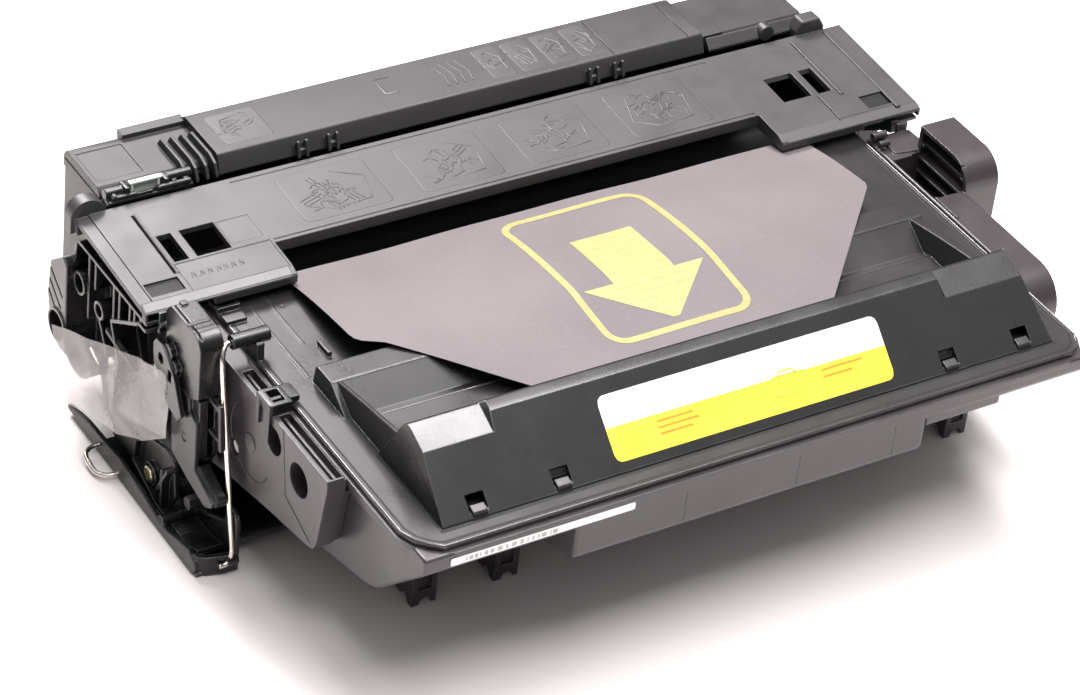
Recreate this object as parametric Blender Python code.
"""Toner cartridge: a drum (cleaning) unit at the rear and a toner hopper unit at
the front, joined side by side, standing on the hopper feet and the drum unit's
end plates.

Working coordinates are millimetres: x runs left to right along the long side,
y runs from the front flange to the rear box, z is up, measured from the front
top edge of the cleaning unit's cover.  Everything is moved at the end to a frame
with its origin at the centre of the base.  X is the long side, Z is up.
"""
import math

import bmesh
import bpy
from mathutils import Matrix, Vector

# ---------------------------------------------------------------- dimensions
MM = 0.001
OFF_X, OFF_Y, OFF_Z = 162.35, -28.28, -86.5     # working point that becomes the origin

COVER_LEN = 327.0          # cleaning unit cover, overall length
COVER_DEPTH = 54.0
COVER_RISE = 3.5           # the cover's top climbs this much towards the rear
PLATE_L_X1 = 59.0          # right edge of the left end plate area
PLATE_R_X0 = 264.0         # left edge of the right end plate area
RECESS_Y = 15.4            # front edge of the cover between the end plates

DRUM_Y, DRUM_Z, DRUM_R = 34.0, -50.0, 15.0
DRUM_X0, DRUM_X1 = 34.0, 296.0
CHARGE_R = 6.0
CHARGE_Y, CHARGE_Z = 38.44, -29.12
DEV_R = 8.0
DEV_Y, DEV_Z = 11.05, -54.0

GEAR_MOD = 0.7067          # one module for the whole train
N_DRUM, N_DEV, N_IDLER, N_AGIT = 40, 26, 32, 48
GEAR_X0, GEAR_X1 = 301.4, 306.2
AGIT_Y, AGIT_Z = -36.0, -40.0

LID_Z = -8.4
FLANGE_FRONT = -146.6
HOP_X0, HOP_X1 = 26.0, 302.0
RIDGE_Y, RIDGE_Z = -108.3, 14.7
FLOOR = -86.5

PIVOT_Y, PIVOT_Z = -28.3, -0.5      # shutter pivot pins
GAP = 0.3

# ------------------------------------------------------------------- helpers
for ob in list(bpy.data.objects):
    bpy.data.objects.remove(ob, do_unlink=True)

MATS = {}


def mat(name, color, rough, metal=0.0):
    if name not in MATS:
        m = bpy.data.materials.new(name)
        m.use_nodes = True
        b = m.node_tree.nodes["Principled BSDF"]
        b.inputs["Base Color"].default_value = (*color, 1.0)
        b.inputs["Roughness"].default_value = rough
        b.inputs["Metallic"].default_value = metal
        m.diffuse_color = (*color, 1.0)
        MATS[name] = m
    return MATS[name]


def obj_from_bm(name, bm, material=None):
    bmesh.ops.recalc_face_normals(bm, faces=bm.faces)
    me = bpy.data.meshes.new(name)
    bm.to_mesh(me)
    bm.free()
    ob = bpy.data.objects.new(name, me)
    bpy.context.scene.collection.objects.link(ob)
    if material:
        me.materials.append(material)
    return ob


def extrude_poly(points3, vec):
    bm = bmesh.new()
    vs = [bm.verts.new(Vector(p) * MM) for p in points3]
    f = bm.faces.new(vs)
    r = bmesh.ops.extrude_face_region(bm, geom=[f])
    moved = [g for g in r["geom"] if isinstance(g, bmesh.types.BMVert)]
    bmesh.ops.translate(bm, verts=moved, vec=Vector(vec) * MM)
    return bm


def prism_x(prof, x0, x1, name="tmp"):
    return obj_from_bm(name, extrude_poly([(x0, y, z) for y, z in prof], (x1 - x0, 0, 0)))


def prism_y(prof, y0, y1, name="tmp"):
    return obj_from_bm(name, extrude_poly([(x, y0, z) for x, z in prof], (0, y1 - y0, 0)))


def prism_z(prof, z0, z1, name="tmp"):
    return obj_from_bm(name, extrude_poly([(x, y, z0) for x, y in prof], (0, 0, z1 - z0)))


def box(x0, x1, y0, y1, z0, z1, name="tmp"):
    return prism_z([(x0, y0), (x1, y0), (x1, y1), (x0, y1)], z0, z1, name)


def circle(cy, cz, r, n, a0=0.0, a1=2 * math.pi, closed=True):
    m = n if closed else n + 1
    return [(cy + r * math.cos(a0 + (a1 - a0) * i / n),
             cz + r * math.sin(a0 + (a1 - a0) * i / n)) for i in range(m)]


def cyl_x(y, z, r, x0, x1, n=24, name="tmp"):
    return prism_x(circle(y, z, r, n), x0, x1, name)


def cyl_z(x, y, r, z0, z1, n=20, name="tmp"):
    return prism_z(circle(x, y, r, n), z0, z1, name)


def cyl_y(x, z, r, y0, y1, n=20, name="tmp"):
    return prism_y(circle(x, z, r, n), y0, y1, name)


def boolean(a, others, op):
    for o in others if isinstance(others, (list, tuple)) else [others]:
        m = a.modifiers.new("b", "BOOLEAN")
        m.operation = op
        m.solver = "EXACT"
        m.object = o
        dg = bpy.context.evaluated_depsgraph_get()
        me = bpy.data.meshes.new_from_object(a.evaluated_get(dg))
        a.modifiers.clear()
        old = a.data
        a.data = me
        bpy.data.meshes.remove(old)
        bpy.data.objects.remove(o, do_unlink=True)
    return a


def add(a, *others):
    return boolean(a, list(others), "UNION")


def cut(a, *others):
    return boolean(a, list(others), "DIFFERENCE")


def finish(ob, name, material, smooth=None):
    ob.name = name
    ob.data.name = name
    ob.data.materials.clear()
    ob.data.materials.append(material)
    bm = bmesh.new()
    bm.from_mesh(ob.data)
    bmesh.ops.remove_doubles(bm, verts=bm.verts, dist=0.00002)
    bmesh.ops.dissolve_limit(bm, angle_limit=math.radians(0.2), verts=bm.verts, edges=bm.edges)
    bmesh.ops.triangulate(bm, faces=[f for f in bm.faces if len(f.verts) > 4])
    bmesh.ops.recalc_face_normals(bm, faces=bm.faces)
    bm.to_mesh(ob.data)
    bm.free()
    if smooth:
        ob.data.shade_smooth()
        ob.data.set_sharp_from_angle(angle=math.radians(smooth))
    return ob


def strip_poly(line, t):
    """Closed section of a wall of thickness t that lies below an open line."""
    n = len(line)
    low = []
    for i, p in enumerate(line):
        p = Vector(p)
        d = []
        if i > 0:
            d.append((p - Vector(line[i - 1])).normalized())
        if i < n - 1:
            d.append((Vector(line[i + 1]) - p).normalized())
        nn = [Vector((v.y, -v.x)) for v in d]
        m = sum(nn, Vector((0, 0)))
        m.normalize()
        k = t / max(0.35, m.dot(nn[0]))
        low.append(tuple(p + m * k))
    return list(line) + low[::-1]


def tube_path(pts, r, n=8, name="tmp"):
    """Round bar bent along a path of working points."""
    P = [Vector(p) * MM for p in pts]
    bm = bmesh.new()
    rings = []
    t0 = (P[1] - P[0]).normalized()
    ref = Vector((0, 0, 1)) if abs(t0.z) < 0.9 else Vector((1, 0, 0))
    u = t0.cross(ref).normalized()
    for i, p in enumerate(P):
        if i == 0:
            t = P[1] - P[0]
        elif i == len(P) - 1:
            t = P[-1] - P[-2]
        else:
            t = (P[i + 1] - p).normalized() + (p - P[i - 1]).normalized()
        t.normalize()
        u = (u - t * u.dot(t)).normalized()
        v = t.cross(u)
        rings.append([bm.verts.new(p + (u * math.cos(2 * math.pi * k / n)
                                        + v * math.sin(2 * math.pi * k / n)) * r * MM)
                      for k in range(n)])
    for a, b in zip(rings, rings[1:]):
        for k in range(n):
            bm.faces.new((a[k], a[(k + 1) % n], b[(k + 1) % n], b[k]))
    bm.faces.new(rings[0][::-1])
    bm.faces.new(rings[-1])
    return obj_from_bm(name, bm)


def arc_pts(c, r, a0, a1, n):
    return [(c[0] + r * math.cos(math.radians(a0 + (a1 - a0) * i / n)),
             c[1] + r * math.sin(math.radians(a0 + (a1 - a0) * i / n))) for i in range(n + 1)]


def gear(cy, cz, teeth, x0, x1, phase, bore, name):
    """Spur gear with straight-flank teeth and generous backlash."""
    rp = GEAR_MOD * teeth / 2
    ra, rf = rp + 0.80 * GEAR_MOD, rp - 1.10 * GEAR_MOD
    p = 2 * math.pi / teeth
    prof = []
    for i in range(teeth):
        a = phase + i * p
        for r, w in ((rf, 0.31), (rp, 0.215), (ra, 0.10)):
            prof.append((cy + r * math.cos(a - w * p), cz + r * math.sin(a - w * p)))
        for r, w in ((ra, 0.10), (rp, 0.215), (rf, 0.31)):
            prof.append((cy + r * math.cos(a + w * p), cz + r * math.sin(a + w * p)))
    g = prism_x(prof, x0, x1, name)
    if bore:
        cut(g, cyl_x(cy, cz, bore, x0 - 1, x1 + 1, 20))
    return g


# ----------------------------------------------------------------- materials
BLACK = mat("black_moulding", (0.030, 0.030, 0.031), 0.42)
CASE = mat("hopper_moulding", (0.045, 0.042, 0.047), 0.45)
GRIPM = mat("grip_moulding", (0.030, 0.030, 0.030), 0.38)
STEEL = mat("bright_steel", (0.62, 0.61, 0.58), 0.28, 1.0)
BRASS = mat("plated_screw", (0.66, 0.60, 0.38), 0.35, 1.0)
DRUMM = mat("drum_coating", (0.02, 0.16, 0.14), 0.12)
WHITEP = mat("white_gear", (0.75, 0.75, 0.72), 0.45)
RUBBER = mat("roller_rubber", (0.02, 0.02, 0.02), 0.7)
PAPERM = mat("dark_paper", (0.10, 0.095, 0.10), 0.85)
LABELM = mat("label_print", (0.90, 0.80, 0.08), 0.4)
FILMM = mat("clear_film", (0.82, 0.82, 0.84), 0.3)
SLEEVE = mat("sleeve_metal", (0.25, 0.25, 0.26), 0.4, 1.0)

parts = {}


def keep(ob, name, material, smooth=None):
    parts[name] = finish(ob, name, material, smooth)
    return parts[name]


def ztop(y):
    return -0.13 + (COVER_RISE + 0.13) * (y + 2.0) / (COVER_DEPTH + 2.0)


# ================================================================= drum unit
# --- cleaning unit cover, one moulding with both end plates
slab = [(-2.0, -4.6), (-2.0, ztop(-2)), (54.0, ztop(54)), (54.0, -3.4), (51.8, -3.4),
        (51.8, ztop(51.8) - 2.4), (0.4, ztop(0.4) - 2.4), (0.4, -4.6)]
cover = prism_x(slab, 0.0, COVER_LEN)
cut(cover, box(PLATE_L_X1, PLATE_R_X0, -10, RECESS_Y, -20, 20))
add(cover, prism_x([(RECESS_Y, -3.6), (RECESS_Y, ztop(RECESS_Y) - 0.6), (17.6, ztop(17.6) - 0.6),
                    (17.6, -3.6)], PLATE_L_X1 - 0.5, PLATE_R_X0 + 0.5))
add(cover, box(PLATE_L_X1 - 2.2, PLATE_L_X1, -1.5, 16.5, -4.6, -1.0),
    box(PLATE_R_X0, PLATE_R_X0 + 2.2, -1.5, 16.5, -4.6, -1.0))
for x0, x1 in ((21.4, 27.0), (30.3, 43.6), (277.8, 290.4), (293.6, 299.4)):
    cut(cover, box(x0, x1, 18.6, 33.6, -10, 10))
cut(cover, box(301.6, 303.2, 18.0, 45.0, -10, 10))             # narrow slot at the right end
cut(cover, box(18.3, 19.7, 15.0, 47.0, -10, 10))               # narrow slot at the left end
for x0, x1 in ((5.0, 19.1), (306.5, 318.4)):                   # shallow pockets by the front edge
    cut(cover, box(x0, x1, 4.4, 11.4, -0.9, 10))
# rear corner lugs, rounded on top
for xa, xb in ((-2.0, 11.5), (305.5, 319.0)):
    xm, w = (xa + xb) / 2, (xb - xa) / 2
    prof = [(xa, -3.0)] + [(xm - w * math.cos(math.pi * i / 8), 3.0 + 6.5 * math.sin(math.pi * i / 8))
                           for i in range(9)] + [(xb, -3.0)]
    lug = prism_y(prof, 53.0, 59.5)
    add(cover, lug)
    cut(cover, box(xm - 3.6, xm + 3.6, 55.2, 70, -10, 5.4))
keep(cover, "cleaning_unit_cover", BLACK)

# --- frame and waste toner tank: open-topped trough with end walls
FRX0, FRX1 = 13.0, 314.0
trough = strip_poly([(55.4, -28.0), (55.4, -60.0), (58.5, -64.0), (84.0, -64.0), (88.0, -60.0), (88.0, 2.6)][::-1], 2.2)
trough = [(55.0, -29.0), (55.0, -60.5), (58.0, -64.5), (84.5, -64.5), (88.5, -60.5), (88.5, 2.6),
          (86.3, 2.6), (86.3, -59.6), (83.6, -62.3), (58.9, -62.3), (57.2, -59.6), (57.2, -29.0)]
frame = prism_x(trough, FRX0, FRX1)
end_prof = [(22.0, -4.2), (50.5, -4.2), (56.5, -7.0), (56.5, -1.0), (60.0, 2.6), (88.5, 2.6), (88.5, -60.5),
            (84.5, -64.5), (58.0, -64.5), (52.0, -79.0), (44.0, -FLOOR * -1), (24.0, FLOOR), (19.5, -70.0),
            (19.5, -34.0)]
end_prof[10] = (44.0, FLOOR)
for xa, xb in ((FRX0 - 0.2, FRX0 + 2.6), (FRX1 - 2.6, FRX1 + 0.2)):
    add(frame, prism_x(end_prof, xa, xb))
# cross rails that tie the end walls: wiper rail and lower guide rail
add(frame, prism_x([(57.0, -31.0), (57.0, -28.6), (50.2, -25.0), (50.2, -27.6)], FRX0 + 1, FRX1 - 1))
add(frame, prism_x([(52.5, -66.4), (58.2, -64.2), (58.2, -62.6), (55.4, -62.6), (51.6, -64.8)], FRX0 + 1, FRX1 - 1))
add(frame, box(FRX0 + 0.8, 47.0, 56.9, 61.6, 0.4, 2.8))
# bearing holes in the end walls
for xa, xb in ((FRX0 - 1, FRX0 + 4), (FRX1 - 4, FRX1 + 1)):
    cut(frame, cyl_x(DRUM_Y, DRUM_Z, 5.6, xa, xb, 24), cyl_x(CHARGE_Y, CHARGE_Z, 3.7, xa, xb, 16))
keep(frame, "waste_tank_frame", BLACK)

# --- lid of the waste tank: raised middle part, lower shoulders at both ends
lid_mid = [(57.4, 3.0), (57.4, 6.2), (59.0, 10.5), (86.6, 10.5), (90.2, 6.4), (90.2, -1.0), (88.9, -1.0), (88.9, 3.0)]
tank_lid = prism_x(lid_mid, 58.6, 266.0)
cut(tank_lid, prism_x([(60.0, 2.0), (60.0, 7.0), (61.0, 8.7), (85.6, 8.7), (86.2, 8.0), (86.2, 2.0)], 60.8, 263.8))
lid_low = [(62.0, 3.1), (65.0, 6.3), (87.8, 6.3), (90.1, 4.6), (90.1, -0.9), (88.95, -0.9), (88.95, 3.1)]
add(tank_lid, prism_x(lid_low, 13.0, 58.9), prism_x(lid_low, 265.7, 314.0))
add(tank_lid, box(34.0, 59.2, 86.0, 90.6, 5.0, 8.6))
# ribs that stand in front of the raised part
for xr in (89.0, 101.5, 213.0, 224.0):
    add(tank_lid, prism_x([(55.2, 3.4), (55.2, 5.0), (57.0, 8.2), (58.4, 9.0), (58.4, 3.4)], xr, xr + 5.2))
for xr in (45.5, 52.0, 55.6):
    add(tank_lid, prism_x([(56.4, 3.2), (56.4, 5.2), (64.0, 9.6), (76.0, 9.6), (76.0, 3.2)], xr, xr + 1.2))
keep(tank_lid, "waste_tank_lid", BLACK)

# --- left end plate: deep ribbed outer plate with two bosses and a rear guide block
lp = [(-1.5, -4.9), (50.5, -4.9), (53.5, -8.0), (55.0, -22.0), (66.0, -22.0), (68.0, -44.0), (61.0, -56.0),
      (54.0, -60.0), (40.0, -66.0), (22.0, -66.0), (17.0, -36.0), (24.5, -22.0), (5.0, -10.0), (-1.5, -10.0)]
lend = prism_x(lp, 9.4, 12.2)
# rim following the outline
for y0, z0, y1, z1 in ((-1.5, -6.0, 51.0, -6.0), (-1.2, -9.2, 5.0, -9.4), (5.0, -10.2, 25.0, -22.4),
                       (53.4, -7.6, 56.0, -23.0)):
    d = Vector((y1 - y0, z1 - z0)).normalized()
    nrm = Vector((-d.y, d.x)) * 0.75
    pr = [(y0 - nrm.x, z0 - nrm.y), (y1 - nrm.x, z1 - nrm.y), (y1 + nrm.x, z1 + nrm.y), (y0 + nrm.x, z0 + nrm.y)]
    add(lend, prism_x(pr, 0.6, 10.0))
for yr, zt, zb in ((8.0, -5.5, -11.5), (15.0, -5.5, -15.8), (24.0, -5.5, -21.8), (43.5, -5.5, -34.0)):
    add(lend, box(0.9, 10.0, yr - 0.6, yr + 0.6, zb, zt))
add(lend, cyl_x(48.2, -21.5, 4.3, 0.0, 10.0, 20), cyl_x(32.2, -22.6, 3.4, 0.0, 10.0, 18))
cut(lend, cyl_x(48.2, -21.5, 2.9, -1.0, 6.5, 16), cyl_x(32.2, -22.6, 2.1, -1.0, 6.5, 14))
# rear guide block with fins
gb = [(55.6, -22.6), (66.0, -22.6), (68.0, -44.0), (60.0, -55.0), (55.6, -55.0)]
add(lend, prism_x(gb, -3.0, 10.0))
for zc in (-28.0, -34.0, -40.0, -46.0):
    cut(lend, box(-4.0, 6.5, 57.6, 70.0, zc - 1.9, zc + 1.9))
cut(lend, cyl_x(DRUM_Y, DRUM_Z, 5.6, 8, 14, 24), cyl_x(CHARGE_Y, CHARGE_Z, 3.6, 8, 14, 16))
keep(lend, "left_end_plate", BLACK)

# --- right end plate
rp = [(-1.5, -4.9), (50.5, -4.9), (53.5, -8.0), (55.0, -24.0), (60.0, -44.0), (54.0, -60.0), (40.0, -66.0),
      (22.0, -66.0), (17.0, -36.0), (20.0, -22.0), (5.0, -12.0), (-1.5, -10.0)]
rend = prism_x(rp, 314.8, 317.6)
for y0, z0, y1, z1 in ((-1.5, -6.0, 51.0, -6.0), (5.0, -12.6, 20.4, -22.4), (53.4, -7.6, 55.0, -24.0)):
    d = Vector((y1 - y0, z1 - z0)).normalized()
    nrm = Vector((-d.y, d.x)) * 0.75
    pr = [(y0 - nrm.x, z0 - nrm.y), (y1 - nrm.x, z1 - nrm.y), (y1 + nrm.x, z1 + nrm.y), (y0 + nrm.x, z0 + nrm.y)]
    add(rend, prism_x(pr, 317.0, 326.4))
add(rend, cyl_x(DRUM_Y, DRUM_Z, 9.5, 317.0, 323.0, 28))
cut(rend, cyl_x(DRUM_Y, DRUM_Z, 5.6, 310, 330, 24), cyl_x(CHARGE_Y, CHARGE_Z, 3.6, 310, 330, 16))
keep(rend, "right_end_plate", BLACK)

# --- wiper blade: folded steel holder and polyurethane edge
keep(prism_x([(54.6, -32.6), (54.6, -30.9), (49.8, -28.4), (48.4, -36.0), (49.7, -36.2), (51.0, -30.6)],
             34.0, 296.0), "wiper_holder", STEEL)
keep(prism_x([(48.3, -36.3), (46.6, -38.2), (48.4, -40.6), (50.0, -40.2), (49.6, -36.6)], 36.0, 294.0), "wiper_blade", RUBBER)

# --- charge roller
shaft = cyl_x(CHARGE_Y, CHARGE_Z, 3.0, 17.0, 310.0, 16)
keep(shaft, "charge_roller_shaft", STEEL, 40)
sl = cyl_x(CHARGE_Y, CHARGE_Z, CHARGE_R, 40.0, 290.0, 32)
cut(sl, cyl_x(CHARGE_Y, CHARGE_Z, 3.3, 39.0, 291.0, 20))
keep(sl, "charge_roller_rubber", RUBBER, 40)
for nm, xa, xb in (("charge_bearing_left", 10.6, 17.0 - GAP), ("charge_bearing_right", 310.0 + GAP, 318.0)):
    b = cyl_x(CHARGE_Y, CHARGE_Z, 3.25, xa, xb, 16)
    keep(b, nm, WHITEP)

# --- photosensitive drum: coated tube, plain hub, geared flange, bearing bushes
tube = cyl_x(DRUM_Y, DRUM_Z, DRUM_R, DRUM_X0, DRUM_X1, 48)
cut(tube, cyl_x(DRUM_Y, DRUM_Z, DRUM_R - 0.9, DRUM_X0 - 1, DRUM_X1 + 1, 48))
keep(tube, "drum_tube", DRUMM, 40)
hub = cyl_x(DRUM_Y, DRUM_Z, 13.75, DRUM_X0 + 0.3, DRUM_X0 + 9.0, 32)
add(hub, cyl_x(DRUM_Y, DRUM_Z, 14.9, DRUM_X0 - 3.0, DRUM_X0 - 0.3, 32), cyl_x(DRUM_Y, DRUM_Z, 8.0, DRUM_X0 - 1.0, DRUM_X0 + 2, 24))
cut(hub, cyl_x(DRUM_Y, DRUM_Z, 3.3, DRUM_X0 - 9, DRUM_X0 + 20, 20), cyl_x(DRUM_Y, DRUM_Z, 11.0, DRUM_X0 + 2.5, DRUM_X0 + 20, 24))
keep(hub, "drum_hub", WHITEP, 40)
dg = gear(DRUM_Y, DRUM_Z, N_DRUM, GEAR_X0, GEAR_X1, 0.0, None, "tmp")
add(dg, cyl_x(DRUM_Y, DRUM_Z, 12.6, DRUM_X1 + 0.3, GEAR_X0 + 0.5, 32), cyl_x(DRUM_Y, DRUM_Z, 13.75, DRUM_X1 - 9, DRUM_X1 - 0.0, 32),
    cyl_x(DRUM_Y, DRUM_Z, 12.6, DRUM_X1 - 1.0, DRUM_X1 + 1.0, 32))
add(dg, cyl_x(DRUM_Y, DRUM_Z, 4.6, GEAR_X1 - 0.5, 322.0, 24))
keep(dg, "drum_gear", WHITEP, 35)
keep(cyl_x(DRUM_Y, DRUM_Z, 3.0, 6.4, DRUM_X0 + 2.0, 20), "drum_axle_pin", STEEL, 40)
bush = cyl_x(DRUM_Y, DRUM_Z, 5.3, 9.6, 15.4, 24)
cut(bush, cyl_x(DRUM_Y, DRUM_Z, 3.3, 8, 17, 20))
keep(bush, "drum_bearing_left", WHITEP)
bush = cyl_x(DRUM_Y, DRUM_Z, 5.3, 311.6, 323.4, 24)
cut(bush, cyl_x(DRUM_Y, DRUM_Z, 4.9, 310, 325, 24))
keep(bush, "drum_bearing_right", WHITEP)

# --- small toner sensor clip behind the left end plate, and the earth contact
clip = box(16.0, 44.6, 56.9, 61.2, 3.2, 6.2)
add(clip, box(24.0, 35.0, 56.9, 61.6, 3.2, 9.4))
cut(clip, box(26.0, 33.0, 55.0, 60.0, 4.6, 8.2))
keep(clip, "bearing_clip", WHITEP)
contact = prism_x([(25.0, -84.5), (30.5, -84.5), (30.5, -66.8), (28.0, -66.8), (28.0, -82.5), (25.0, -82.5)], 11.6, 12.4)
keep(contact, "earth_contact", STEEL)

# --- screws that hold the end plates
for nm, x, y, z, s in (("screw_left", 9.0, 30.0, -61.0, -1), ("screw_right", 317.9, 26.6, -62.0, 1)):
    if s < 0:
        sc = cyl_x(y, z, 3.2, x - 2.2, x, 20)
        cut(sc, cyl_x(y, z, 1.2, x - 3, x - 1.0, 6))
    else:
        sc = cyl_x(y, z, 3.2, x, x + 2.2, 20)
        cut(sc, cyl_x(y, z, 1.2, x + 1.0, x + 3, 6))
    keep(sc, nm, BRASS)

# =============================================================== drum shutter
# curved plate under the drum: the front part reaches out to a low arm at each end
front_plate = [(-38.0, -80.6), (-30.0, -83.2), (-6.0, -83.2), (13.0, -76.4), (13.4, -78.2), (-5.6, -84.9), (-30.2, -84.9), (-38.6, -82.2)]
rear_plate = [(10.5, -77.0), (24.0, -72.5), (40.0, -72.5), (50.0, -76.0), (50.5, -77.5), (40.2, -74.1), (24.3, -74.1), (11.0, -78.6)]
shutter = prism_x(front_plate, 4.9, 322.7)
add(shutter, prism_x(rear_plate, 17.0, 310.0))
arm_l = [(-44.5, -78.0), (-42.0, -85.6), (40.0, -85.6), (60.0, -81.5), (59.5, -79.2), (38.0, -76.6), (14.0, -74.8),
         (-6.0, -72.8), (-26.0, -64.0), (-34.0, -60.0), (-41.0, -62.0)]
arm_r = [(-44.5, -78.0), (-42.0, -85.6), (14.0, -85.6), (20.0, -82.0), (14.0, -74.8), (-6.0, -72.8), (-41.0, -74.0)]
add(shutter, prism_x(arm_l, 4.6, 8.4), prism_x(arm_r, 319.2, 323.0))
cut(shutter, prism_x([(-30.0, -80.2), (-8.0, -80.2), (10.0, -77.4), (-5.0, -75.6), (-24.0, -68.0), (-33.0, -66.0)], 6.6, 9.0))
keep(shutter, "drum_shutter", BLACK)
# long wire links that hang from the pivot line and carry the shutter
for nm, xs, xe, sx, top in (("shutter_wire_left", 14.0, 8.8, -1, 18.5), ("shutter_wire_right", 327.4, 323.4, -1, 331.2)):
    if nm.endswith("left"):
        pts = [(top, PIVOT_Y, PIVOT_Z), (17.95, -28.4, PIVOT_Z), (17.6, -29.4, -0.6), (16.6, -31.4, -1.0), (15.1, -32.8, -2.6),
               (14.3, -33.3, -5.5), (14.0, -34.2, -12.0), (14.0, -46.4, -74.0)]
    else:
        pts = [(top, PIVOT_Y, PIVOT_Z), (328.9, PIVOT_Y, PIVOT_Z), (327.9, -28.5, -1.1), (327.4, -28.7, -2.8), (327.4, -26.6, -30.0),
               (327.4, -33.0, -50.0), (327.4, -46.4, -74.0)]
    pts += [(xs - 0.4, -47.2, -78.0), (xs - 1.6, -47.4, -80.4), (xe, -47.4, -81.2)]
    keep(tube_path(pts, 0.95, 8), nm, STEEL, 60)
keep(tube_path([(4.3, 30.0, -81.0), (-1.5, 29.4, -80.4), (-5.0, 27.4, -80.4), (-6.05, 24.6, -81.2), (-6.05, 19.6, -82.6),
                (-4.6, 16.8, -83.2), (-1.5, 15.0, -83.4), (4.3, 14.4, -83.4)], 0.95, 8), "shutter_loop_wire", STEEL, 60)
keep(cyl_x(PIVOT_Y, PIVOT_Z, 2.7, 18.9, 31.0, 20), "pivot_pin", BLACK, 40)

# ================================================================ hopper unit
# --- hopper case: tapered bin with a rim, a lower box at the front middle and feet
outer = [(-144.4, -10.0), (-146.6, -10.2), (-146.6, -15.6), (-119.0, -43.0), (-90.0, -52.0), (-40.0, -64.0), (-8.0, -70.0), (8.0, -70.0),
         (8.0, -67.6), (0.0, -65.0), (0.0, -42.0), (4.6, -30.0), (4.6, -10.0)]
case = prism_x(outer, HOP_X0 + 2.4, HOP_X1 - 2.4)
rim = [(26.0, -131.0), (28.0, -137.0), (31.5, -141.8), (36.5, -145.2), (41.0, -146.6), (289.0, -146.6), (294.0, -145.2),
       (299.0, -141.6), (302.0, -136.0), (302.0, -64.0), (302.0, -62.0), (302.0, 4.6), (26.0, 4.6)]
add(case, prism_z(rim, -15.5, -10.05))
cbox = [(-146.3, -14.0), (-146.3, -30.4), (-118.0, -40.0), (-100.0, -44.0), (-100.0, -20.0), (-120.0, -14.0)]
add(case, prism_x(cbox, 87.0, 229.0))
# cheeks that carry the developer roller
for xa, xb in ((28.4, 31.2), (296.8, 299.6)):
    add(case, prism_x([(-6.0, -69.0), (10.0, -69.0), (18.0, -63.0), (18.0, -58.0), (16.5, -46.0), (4.0, -36.0), (-6.0, -36.0)], xa, xb))
inner = [(-140.5, -5.0), (-140.5, -17.6), (-117.4, -40.6), (-89.6, -49.4), (-39.5, -61.5), (-8.0, -67.4), (-2.0, -67.4),
         (1.5, -63.5), (1.5, -43.5), (-3.0, -40.5), (2.0, -29.6), (2.0, -5.0)]
cut(case, prism_x(inner, 31.0, 297.0))
cut(case, prism_x([(-143.8, -17.0), (-143.8, -28.6), (-117.0, -37.6), (-108.0, -40.0), (-108.0, -17.0)], 89.4, 226.6))
# developer roller bay and shaft holes
cut(case, cyl_x(DEV_Y, DEV_Z, 8.9, 31.6, 296.4, 32))
cut(case, cyl_x(DEV_Y, DEV_Z, 3.4, 20, 310, 20))
# feet with an arched notch
for xf in (62.0, 95.2, 258.0, 291.0):
    ft = prism_x([(-89.4, FLOOR), (-89.4, -50.0), (-78.0, -53.0), (-78.0, FLOOR + 1.2), (-82.0, FLOOR + 1.2), (-84.0, FLOOR + 5.0),
                  (-86.0, FLOOR + 1.6), (-87.0, FLOOR)], xf, xf + 9.8)
    cut(ft, prism_y(circle(xf + 5.6, FLOOR + 0.2, 2.6, 16), -100, -60))
    add(case, ft)
# agitator journals
cut(case, cyl_x(AGIT_Y, AGIT_Z, 3.3, 24, 310, 20))
# fill opening in the left wall
cut(case, cyl_x(-78.0, -30.0, 11.0, 24, 31.6, 24))
keep(case, "hopper_case", CASE)

# --- hopper lid: flat plate, raised cross rib and side walls of the finger space behind the grip
lid_out = [(27.2, -131.4), (29.2, -137.0), (32.5, -141.2), (37.0, -144.4), (293.0, -144.4), (298.2, -140.8), (300.8, -136.0),
           (300.8, 4.0), (27.2, 4.0)]
lid = prism_z(lid_out, LID_Z - 1.35, LID_Z)
add(lid, prism_x([(-49.4, -9.0), (-51.2, -0.7), (-61.2, -0.7), (-63.4, -3.2), (-66.2, -6.1), (-69.2, -7.6), (-73.0, -8.5), (-73.0, -9.0)], 39.6, 285.4))
for xa, xb in ((42.0, 43.8), (279.4, 283.0)):                           # side walls of the finger space, rising to the grip
    add(lid, prism_x([(-60.5, -9.0), (-60.5, -1.2), (-61.2, -0.7), (-101.6, 6.2), (-92.7, -8.0), (-92.7, -9.0)], xa, xb))
cut(lid, prism_x([(-47.6, -12.0), (-51.0, -9.0), (-52.8, -2.2), (-59.9, -2.2), (-62.2, -4.6), (-65.4, -7.8), (-66.4, -9.9), (-66.4, -12.0)], 41.2, 283.8))
add(lid, box(50.6, 52.2, -40.0, -32.0, -9.0, -6.4))                      # small stop rib
ear = prism_x([(-33.0, -9.0), (-33.0, -1.0), (-31.4, 2.4), (-28.3, 3.5), (-25.2, 2.4), (-23.6, -1.0), (-22.0, -9.0)], 27.2, 30.0)
add(lid, ear)
cut(lid, cyl_x(PIVOT_Y, PIVOT_Z, 3.0, 26.0, 31.4, 20))
for xw in (52.0, 84.4, 243.2, 274.6):                                   # snap tabs for the grip
    add(lid, prism_x([(-134.4, -9.0), (-134.2, -5.2), (-132.6, -5.2), (-131.4, -9.0)], xw + 0.8, xw + 6.2))
keep(lid, "hopper_lid", CASE)

# --- snap-on grip cover, a hollow ridge
gx0, gx1 = 41.0, 290.0


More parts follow.
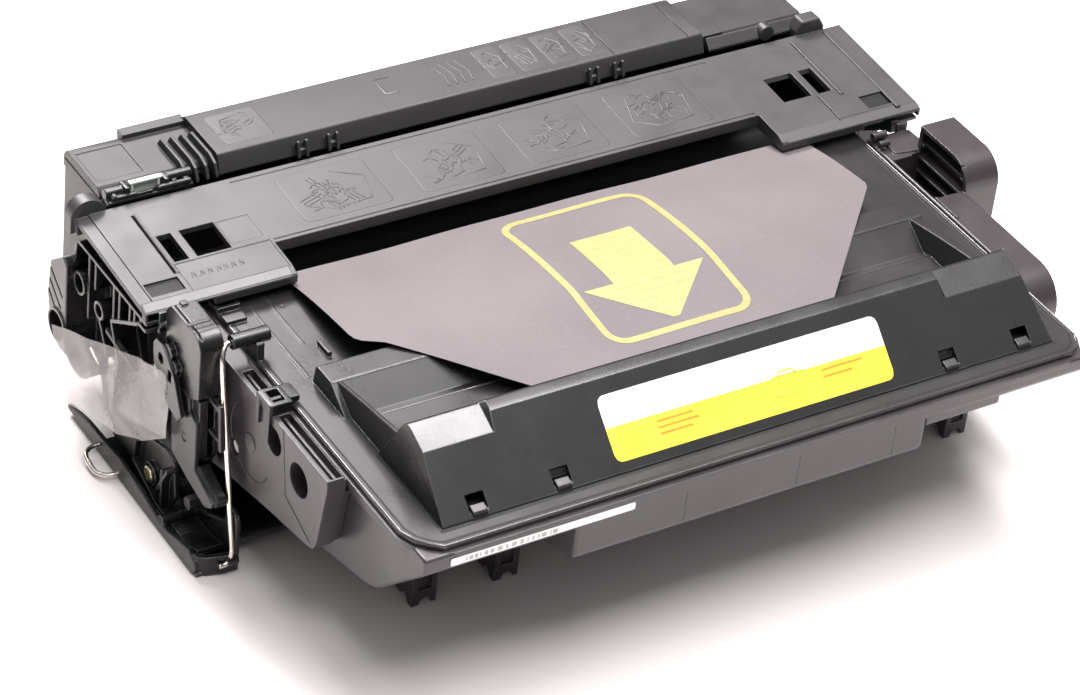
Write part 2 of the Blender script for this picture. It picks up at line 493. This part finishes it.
def loft_x(sections, name="tmp"):
    """Skin closed yz sections with equal point counts, placed at given x."""
    bm = bmesh.new()
    rings = []
    for x, sec in sections:
        rings.append([bm.verts.new(Vector((x if not isinstance(x, (list, tuple)) else x[i], y, z)) * MM)
                      for i, (y, z) in enumerate(sec)])
    n = len(rings[0])
    for a, b in zip(rings, rings[1:]):
        for k in range(n):
            bm.faces.new((a[k], a[(k + 1) % n], b[(k + 1) % n], b[k]))
    bm.faces.new(rings[0][::-1])
    bm.faces.new(rings[-1])
    return obj_from_bm(name, bm)


G0 = LID_Z + GAP
end_sec = [(-93.2, G0), (RIDGE_Y + 1.2, RIDGE_Z - 0.9), (RIDGE_Y, RIDGE_Z), (-119.2, 10.7), (-135.0, G0 + 1.6), (-136.4, G0)]
mid_sec = [(-93.2, G0), (RIDGE_Y + 1.2, RIDGE_Z - 0.9), (RIDGE_Y, RIDGE_Z), (-118.4, 9.9), (-135.0, G0 + 1.6), (-136.4, G0)]
grip = loft_x([([40.6, 41.6, 41.8, 42.2, 41.0, 40.8], end_sec), ([69.0] * 6, end_sec), ([71.5] * 6, mid_sec),
               ([251.5] * 6, mid_sec), ([254.0] * 6, end_sec), ([300.4, 288.0, 285.5, 286.5, 290.0, 290.4], end_sec)])
inn_end = [(-95.6, G0 - 2), (-96.9, G0 + 3), (RIDGE_Y + 0.4, RIDGE_Z - 3.2), (-117.6, 8.2), (-132.3, G0 + 1.2), (-132.6, G0 - 2)]
inn_mid = [(-95.6, G0 - 2), (-96.9, G0 + 3), (RIDGE_Y - 0.6, RIDGE_Z - 3.4), (-117.0, 7.4), (-132.0, G0 + 0.4), (-132.6, G0 - 2)]
gi = loft_x([([43.6] * 6, inn_end), ([68.4] * 6, inn_end), ([70.9] * 6, inn_mid), ([252.1] * 6, inn_mid), ([254.6] * 6, inn_end),
             ([296.0, 292.0, 283.4, 284.0, 287.4, 288.0], inn_end)])
cut(grip, gi)
for xw in (52.0, 84.4, 243.2, 274.6):
    cut(grip, prism_x([(-141.0, -9.0), (-141.0, -3.4), (-134.5, -3.4), (-131.2, -1.9), (-128.6, -4.4), (-131.0, -9.0)], xw, xw + 7.0))
keep(grip, "grip_cover", GRIPM)

# --- left end cover of the hopper, with two holes and the seal slot
lc = [(-8.0, -10.4), (-99.0, -10.4), (-99.0, -13.0), (-93.5, -42.0), (-64.0, -48.0), (-52.0, -50.0), (-10.0, -60.0), (-4.0, -58.0), (-4.0, -40.0), (-8.0, -30.0)]
lcov = prism_x(lc, 18.4, 28.0)
cut(lcov, prism_x([(-10.4, -18.0), (-96.6, -18.0), (-91.6, -39.6), (-52.0, -47.6), (-10.4, -57.4), (-6.4, -56.0), (-6.4, -40.0), (-10.4, -30.0)], 20.8, 30.0))
cut(lcov, cyl_x(-61.0, -18.5, 5.1, 10, 24, 24), cyl_x(-79.5, -22.0, 6.0, 10, 24, 24))
cut(lcov, cyl_x(AGIT_Y, AGIT_Z, 3.3, 10, 24, 20), cyl_x(DEV_Y, DEV_Z, 3.4, 10, 40, 20))
cut(lcov, box(10, 40, -200, 50, -16.0, 0))
add(lcov, box(18.4, 25.6, -99.0, -10.0, -16.6, -11.2))
cut(lcov, cyl_x(-61.0, -18.5, 5.1, 10, 40, 24))
keep(lcov, "left_end_cover", CASE)

# --- knuckle block of the left end: rounded on top, with the round boss plate on its outer side
knk = [(-5.0, -11.0), (-5.0, 1.6), (-7.5, 4.4), (-22.6, 4.4)] + arc_pts((-23.6, -1.6), 6.2, 78, 180, 5) + [(-29.8, -20.5), (-25.0, -23.5),
      (-12.0, -23.5), (-8.0, -14.0)]
hb = prism_x(knk, 6.4, 15.7)
plate_l = [(-1.2, -14.2), (-3.4, -11.4), (-8.0, -11.0), (-13.0, -15.0), (-17.4, -19.4), (-23.4, -31.6), (-20.6, -35.0), (-14.0, -33.4),
           (-6.6, -26.2), (-2.0, -22.0)]
add(hb, cyl_x(-7.0, -17.4, 5.4, 3.9, 9.4, 24), prism_x(plate_l, 3.9, 6.0), prism_x([(-10.0, -18.0), (-14.0, -20.0), (-20.6, -32.0), (-15.0, -31.0), (-9.0, -23.0)], 3.9, 9.0))
arm_p = [(-11.0, -23.0), (-25.0, -22.0), (-29.4, -27.0), (-31.5, -46.0), (-28.0, -58.0), (-17.0, -58.0), (-11.4, -50.0), (-10.6, -37.0)]
add(hb, prism_x(arm_p, 7.2, 12.0))
cut(hb, cyl_x(-7.0, -17.4, 2.0, 0, 8.0, 16), box(0, 8.0, -14.6, -12.6, -22.4, -18.4), box(0, 8.0, -13.6, -11.6, -29.6, -26.0))
cut(hb, prism_x([(-29.0, -28.0), (-26.0, -26.0), (-26.0, -44.0), (-30.0, -44.0)], 6.0, 8.4))
keep(hb, "left_knuckle_block", BLACK)

# --- right end cover: gear housing, top pocket, and the hollow block with ribs
rc = [(-2.6, -8.7), (-96.0, -8.7), (-104.0, -13.6), (-108.0, -24.0), (-106.0, -38.0), (-92.0, -52.0), (-56.0, -62.0), (-2.6, -66.0)]
rcov = prism_x(rc, 302.4, 317.2)
cut(rcov, prism_x([(0.0, -16.0), (-58.0, -16.0), (-64.0, -22.0), (-64.0, -56.0), (-56.0, -59.6), (0.0, -63.6)], 300.0, 308.4))
HT = 2.3
hand = [(-16.4, -30.0), (-16.4, HT), (-40.5, HT)] + arc_pts((-35.5, -11.5), 12.6, 105, 200, 6)[1:] + [(-44.0, -26.0), (-41.0, -30.0)]
add(rcov, prism_x(hand, 316.4, 331.6))
cut(rcov, prism_x([(-18.2, -27.8), (-18.2, HT - 1.5), (-39.6, HT - 1.5)] + arc_pts((-35.5, -11.5), 10.9, 105, 200, 5)[1:]
                  + [(-42.4, -24.6), (-40.2, -27.8)], 312.6, 329.9))
cut(rcov, box(326.0, 329.9, -41.0, -20.0, -32.0, -20.0))
for zr in (-7.4, -14.6, -21.8):
    add(rcov, box(315.0, 325.2, -43.6, -17.4, zr - 0.6, zr + 0.6))
cut(rcov, box(303.6, 313.6, -46.0, -18.6, -16.0, 0.0))
cut(rcov, box(313.0, 318.0, -41.0, -19.8, -6.4, 0.6))
cut(rcov, cyl_x(PIVOT_Y, PIVOT_Z, 1.3, 328.0, 332.0, 14))
keep(rcov, "right_end_cover", CASE)

# --- toner fill plug in the left wall
pl = cyl_x(-78.0, -30.0, 10.6, 25.2, 31.0, 24)
cut(pl, cyl_x(-78.0, -30.0, 8.8, 24.0, 29.4, 24))
keep(pl, "fill_plug", WHITEP)

# --- latch clip at the left edge of the lid
cl = prism_z([(18.6, -50.5), (25.6, -50.5), (25.6, -60.5), (18.6, -60.5)], -10.0, -4.6)
add(cl, box(24.6, 29.6, -58.6, -50.5, -7.0, -4.6))
cut(cl, box(20.6, 23.8, -58.6, -52.2, -12.0, 0.0))
cut(cl, box(17.0, 30.0, -70, -40, -20, -10.0 + 0.35))
keep(cl, "latch_clip", BLACK)

# --- doctor blade and its steel bracket
keep(prism_x([(5.0, -22.0), (5.0, -30.1), (0.8, -41.1), (2.6, -41.9), (6.2, -31.5), (6.2, -22.0)], 33.0, 295.0), "doctor_bracket", STEEL)
keep(prism_x([(3.2, -41.6), (4.4, -41.4), (8.4, -45.4), (7.8, -46.0)], 38.0, 290.0), "doctor_blade", RUBBER)

# --- developer roller: sleeve, fixed magnet, gear
dsl = cyl_x(DEV_Y, DEV_Z, DEV_R, 38.0, 290.0, 36)
cut(dsl, cyl_x(DEV_Y, DEV_Z, 6.9, 37.0, 287.0, 32))
add(dsl, cyl_x(DEV_Y, DEV_Z, 3.0, 286.8, 300.6, 20))
add(dsl, cyl_x(DEV_Y, DEV_Z, 3.0, 300.0, 306.9, 20))
keep(dsl, "developer_sleeve", SLEEVE, 40)
mag = cyl_x(DEV_Y, DEV_Z, 6.4, 40.0, 286.3, 24)
add(mag, cyl_x(DEV_Y, DEV_Z, 3.0, 19.2, 41.0, 20))
keep(mag, "magnet_core", RUBBER, 40)

# --- gear train at the right end: the phases put every pair in mesh at rest
ang_dd = math.atan2(DEV_Z - DRUM_Z, DEV_Y - DRUM_Y)
p_dev = 2 * math.pi / N_DEV


def mesh_phase(a_line, n_from, ph_from, n_to):
    """Phase of a gear of n_to teeth that meshes with one of n_from at angle a_line."""
    pf, pt = 2 * math.pi / n_from, 2 * math.pi / n_to
    frac = ((a_line - ph_from) / pf) % 1.0
    return a_line + math.pi - (0.5 - frac) * pt if False else a_line + math.pi + (frac + 0.5) * pt


ph_dev = mesh_phase(ang_dd, N_DRUM, 0.0, N_DEV)
dev_gear = gear(DEV_Y, DEV_Z, N_DEV, GEAR_X0, GEAR_X1, ph_dev, 3.25, "tmp")
keep(dev_gear, "developer_gear", WHITEP, 35)
d1 = GEAR_MOD * (N_DEV + N_IDLER) / 2 + 0.05
d2 = GEAR_MOD * (N_IDLER + N_AGIT) / 2 + 0.05
D = math.hypot(AGIT_Y - DEV_Y, AGIT_Z - DEV_Z)
ca = (D * D + d1 * d1 - d2 * d2) / (2 * D * d1)
base = math.atan2(AGIT_Z - DEV_Z, AGIT_Y - DEV_Y)
ang_di = base + math.acos(max(-1.0, min(1.0, ca)))
IDL_Y, IDL_Z = DEV_Y + d1 * math.cos(ang_di), DEV_Z + d1 * math.sin(ang_di)
ang_ia = math.atan2(AGIT_Z - IDL_Z, AGIT_Y - IDL_Y)
ph_idl = mesh_phase(ang_di, N_DEV, ph_dev, N_IDLER)
ph_agi = mesh_phase(ang_ia, N_IDLER, ph_idl, N_AGIT)
keep(gear(IDL_Y, IDL_Z, N_IDLER, GEAR_X0 + 0.2, GEAR_X1, ph_idl, 2.3, "tmp"), "idler_gear", WHITEP, 35)
idp = cyl_x(IDL_Y, IDL_Z, 2.0, 300.0, 307.6, 18)
keep(idp, "idler_pin", STEEL, 40)
keep(gear(AGIT_Y, AGIT_Z, N_AGIT, GEAR_X0 + 0.2, GEAR_X1, ph_agi, 2.8, "tmp"), "agitator_gear", WHITEP, 35)

# --- agitator: cranked shaft with two arms and a flexible paddle film
ag = cyl_x(AGIT_Y, AGIT_Z, 2.5, 19.6, 306.8, 16)
for xa in (60.0, 160.0, 262.0):
    add(ag, box(xa, xa + 3.0, AGIT_Y - 12.0, AGIT_Y + 1.0, AGIT_Z - 1.6, AGIT_Z + 1.6))
add(ag, box(40.0, 284.0, AGIT_Y - 13.2, AGIT_Y - 11.2, AGIT_Z - 1.6, AGIT_Z + 1.6))
keep(ag, "agitator_shaft", WHITEP)
keep(box(42.0, 282.0, AGIT_Y - 17.5, AGIT_Y - 13.5, AGIT_Z - 0.3, AGIT_Z + 0.3), "agitator_film", FILMM)

# --- labels and protective sheet
u = Vector((-136.4 - RIDGE_Y, G0 - RIDGE_Z)).normalized()
nrm = Vector((u.y, -u.x))
if nrm.y < 0:
    nrm = -nrm
fs = Vector((-118.4, 9.9))
ds = (Vector((-135.0, G0 + 1.6)) - fs).normalized()
nf = Vector((ds.y, -ds.x))
if nf.y < 0:
    nf = -nf
du = (fs - Vector((RIDGE_Y, RIDGE_Z))).normalized()
nu = Vector((du.y, -du.x))
if nu.y < 0:
    nu = -nu


def lift(p, n, t):
    return (p[0] + n.x * t, p[1] + n.y * t)


top = Vector((RIDGE_Y, RIDGE_Z)) + du * 8.6
bot = fs + ds * 20.6
mid = (nf + nu).normalized()
lab = [lift(top, nu, GAP), lift(fs, mid, GAP), lift(bot, nf, GAP), lift(bot, nf, GAP + 0.25), lift(fs, mid, GAP + 0.25), lift(top, nu, GAP + 0.25)]
keep(prism_x(lab, 109.2, 223.3), "front_label", LABELM)
keep(box(41.5, 111.0, FLANGE_FRONT - 0.55, FLANGE_FRONT - GAP, -15.0, -11.8), "edge_strip_label", FILMM)

# dark protective sheet lying over the lid and its cross rib, its front end down in the finger space
sheet_line = [(6.5, -7.0), (-2.0, -5.3), (-14.0, -2.9), (-26.0, -1.1), (-38.0, 0.2), (-47.0, 0.7), (-52.0, 0.7), (-62.0, -0.15), (-75.0, -1.5), (-91.0, -3.2)]
sheet = prism_x(strip_poly(sheet_line[::-1], 0.35), 57.2, 277.0)
cut(sheet, prism_z([(50.0, -43.4), (57.4, -43.4), (58.8, -45.8), (66.3, -50.8), (106.6, -92.0), (106.6, -120.0), (50.0, -120.0)], -20, 30))
cut(sheet, prism_z([(290.0, -36.4), (276.9, -36.4), (276.2, -39.2), (224.2, -92.0), (224.2, -120.0), (290.0, -120.0)], -20, 30))
cut(sheet, prism_z([(268.4, 8.0), (268.4, 2.4), (272.6, -1.0), (275.6, -4.0), (277.0, -8.0), (290.0, -8.0), (290.0, 8.0)], -20, 30))
keep(sheet, "protective_sheet", PAPERM)

# clear pull tape folded out at the left end
tape_line = [(2.6, -5.0), (1.4, 6.0), (-0.6, 22.0), (-3.4, 40.0), (-6.2, 58.0)]
bm = bmesh.new()
rows = []
for i, (tx, ty) in enumerate(tape_line):
    f = i / (len(tape_line) - 1)
    zt = -27.0 - 22.0 * f
    zb = -57.0 - 21.0 * f
    for t in (0.0, 0.4):
        rows.append([bm.verts.new(Vector((tx + t, ty, zt)) * MM), bm.verts.new(Vector((tx + t, ty, zb)) * MM)])
for i in range(len(tape_line) - 1):
    a0, a1, b0, b1 = rows[2 * i], rows[2 * i + 1], rows[2 * i + 2], rows[2 * i + 3]
    bm.faces.new((a0[0], a0[1], b0[1], b0[0]))
    bm.faces.new((a1[1], a1[0], b1[0], b1[1]))
    bm.faces.new((a0[0], b0[0], b1[0], a1[0]))
    bm.faces.new((a0[1], a1[1], b1[1], b0[1]))
bm.faces.new((rows[0][0], rows[1][0], rows[1][1], rows[0][1]))
bm.faces.new((rows[-2][0], rows[-2][1], rows[-1][1], rows[-1][0]))
keep(obj_from_bm("tmp", bm), "pull_tape", FILMM)

# ============================================================ placing, origins
AXES = {
    "drum_tube": (DRUM_X0, DRUM_Y, DRUM_Z), "drum_hub": (DRUM_X0, DRUM_Y, DRUM_Z), "drum_gear": (GEAR_X0, DRUM_Y, DRUM_Z),
    "charge_roller_shaft": (40.0, CHARGE_Y, CHARGE_Z), "charge_roller_rubber": (40.0, CHARGE_Y, CHARGE_Z),
    "developer_sleeve": (38.0, DEV_Y, DEV_Z), "developer_gear": (GEAR_X0, DEV_Y, DEV_Z),
    "idler_gear": (GEAR_X0, IDL_Y, IDL_Z), "agitator_gear": (GEAR_X0, AGIT_Y, AGIT_Z),
    "agitator_shaft": (60.0, AGIT_Y, AGIT_Z), "agitator_film": (60.0, AGIT_Y, AGIT_Z),
    "drum_shutter": (6.5, PIVOT_Y, PIVOT_Z), "shutter_wire_left": (6.5, PIVOT_Y, PIVOT_Z),
    "shutter_wire_right": (6.5, PIVOT_Y, PIVOT_Z), "shutter_loop_wire": (6.5, PIVOT_Y, PIVOT_Z),
    "pivot_pin": (6.5, PIVOT_Y, PIVOT_Z),
}
off = Vector((OFF_X, OFF_Y, OFF_Z)) * MM
for nm, ob in parts.items():
    piv = Vector(AXES.get(nm, (OFF_X, OFF_Y, OFF_Z))) * MM
    ob.data.transform(Matrix.Translation(-piv))
    ob.location = piv - off
bpy.context.view_layer.update()
